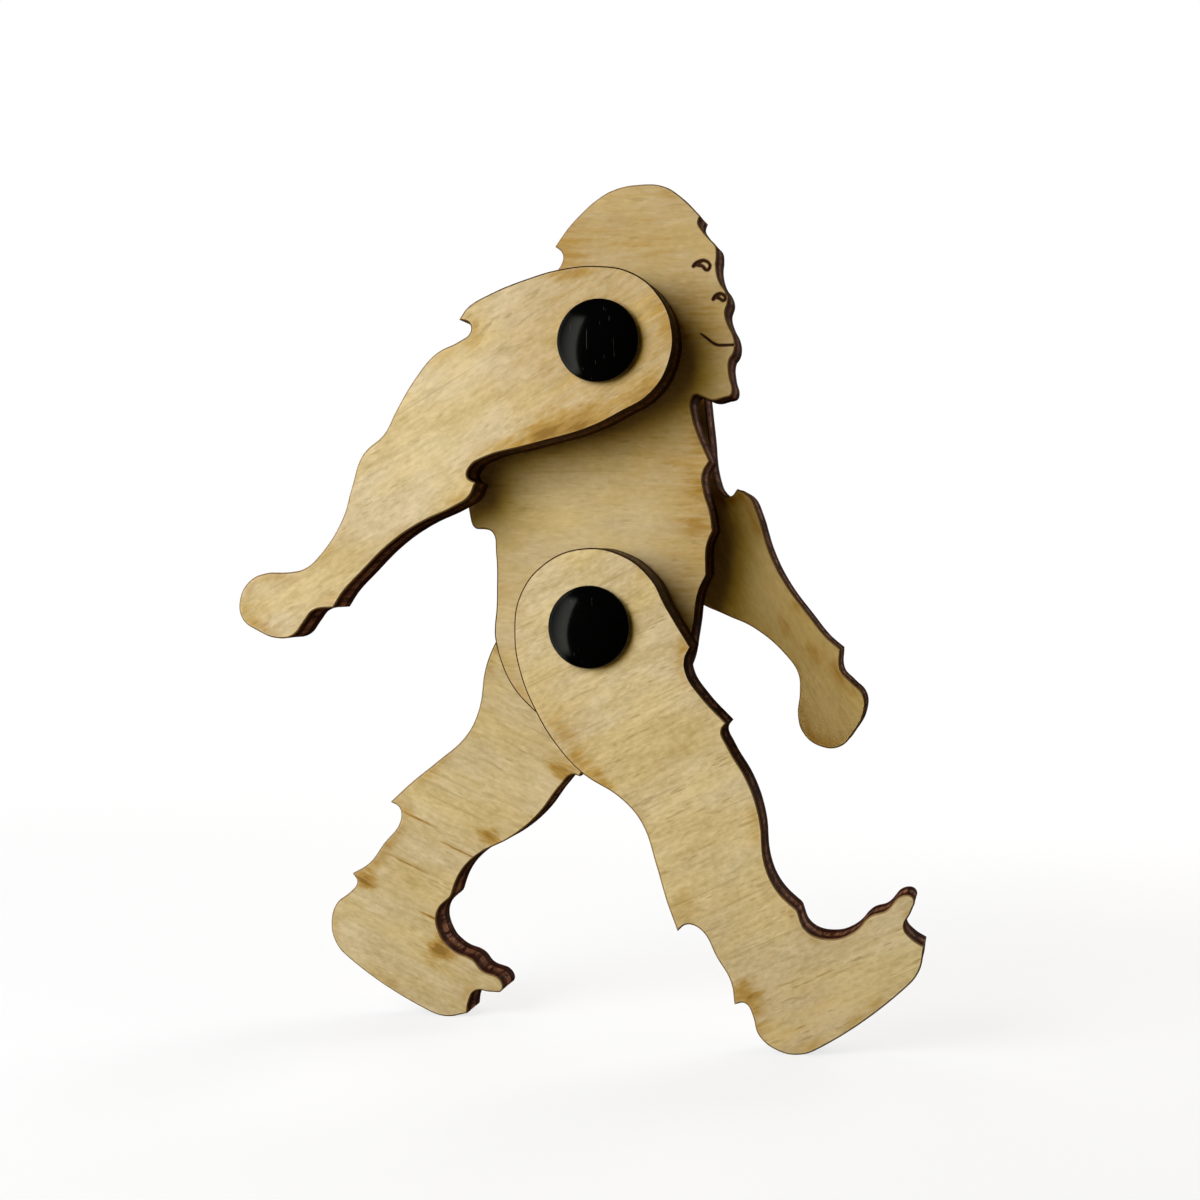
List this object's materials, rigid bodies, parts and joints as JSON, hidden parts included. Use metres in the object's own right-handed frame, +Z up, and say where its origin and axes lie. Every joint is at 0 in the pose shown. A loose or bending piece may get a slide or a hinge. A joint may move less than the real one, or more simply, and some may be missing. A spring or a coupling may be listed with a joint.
{
  "type": "jointed wooden toy figure",
  "caption": "Flat plywood figure of a striding shaggy forest creature whose arms and legs turn on black rivets at the shoulder and the hip.",
  "frame": {"origin": "middle of the figure's box at the surface that it stands on", "axes": "+X the way the figure faces, +Z up, -Y its right side"},
  "size_m": [0.0672, 0.0196, 0.0839],
  "materials": {
    "birch_ply": "bare sanded birch veneer with charred cut edges",
    "black_rivet": "polished black"
  },
  "bodies": {
    "body": {"body_plate": "birch_ply", "shoulder_rivet_post": "black_rivet", "shoulder_rivet_cap": "black_rivet", "hip_rivet_post": "black_rivet", "hip_rivet_cap": "black_rivet"},
    "right_leg": {"right_leg": "birch_ply"},
    "left_leg": {"left_leg": "birch_ply"},
    "right_arm": {"right_arm": "birch_ply"},
    "left_arm": {"left_arm": "birch_ply"}
  },
  "joints": [
    {"name": "right_hip", "type": "hinge", "parent": "body", "child": "right_leg", "pos_m": [0.00234, 0, 0.04066], "axis": [0, -1, 0], "range_deg": [-76, 64]},
    {"name": "left_hip", "type": "hinge", "parent": "body", "child": "left_leg", "pos_m": [0.00234, 0, 0.04066], "axis": [0, -1, 0], "range_deg": [-58, 76]},
    {"name": "right_shoulder", "type": "hinge", "parent": "body", "child": "right_arm", "pos_m": [0.00374, 0, 0.06806], "axis": [0, -1, 0], "range_deg": [-220, 16]},
    {"name": "left_shoulder", "type": "hinge", "parent": "body", "child": "left_arm", "pos_m": [0.00374, 0, 0.06806], "axis": [0, -1, 0], "range_deg": [0, 250]}
  ]
}
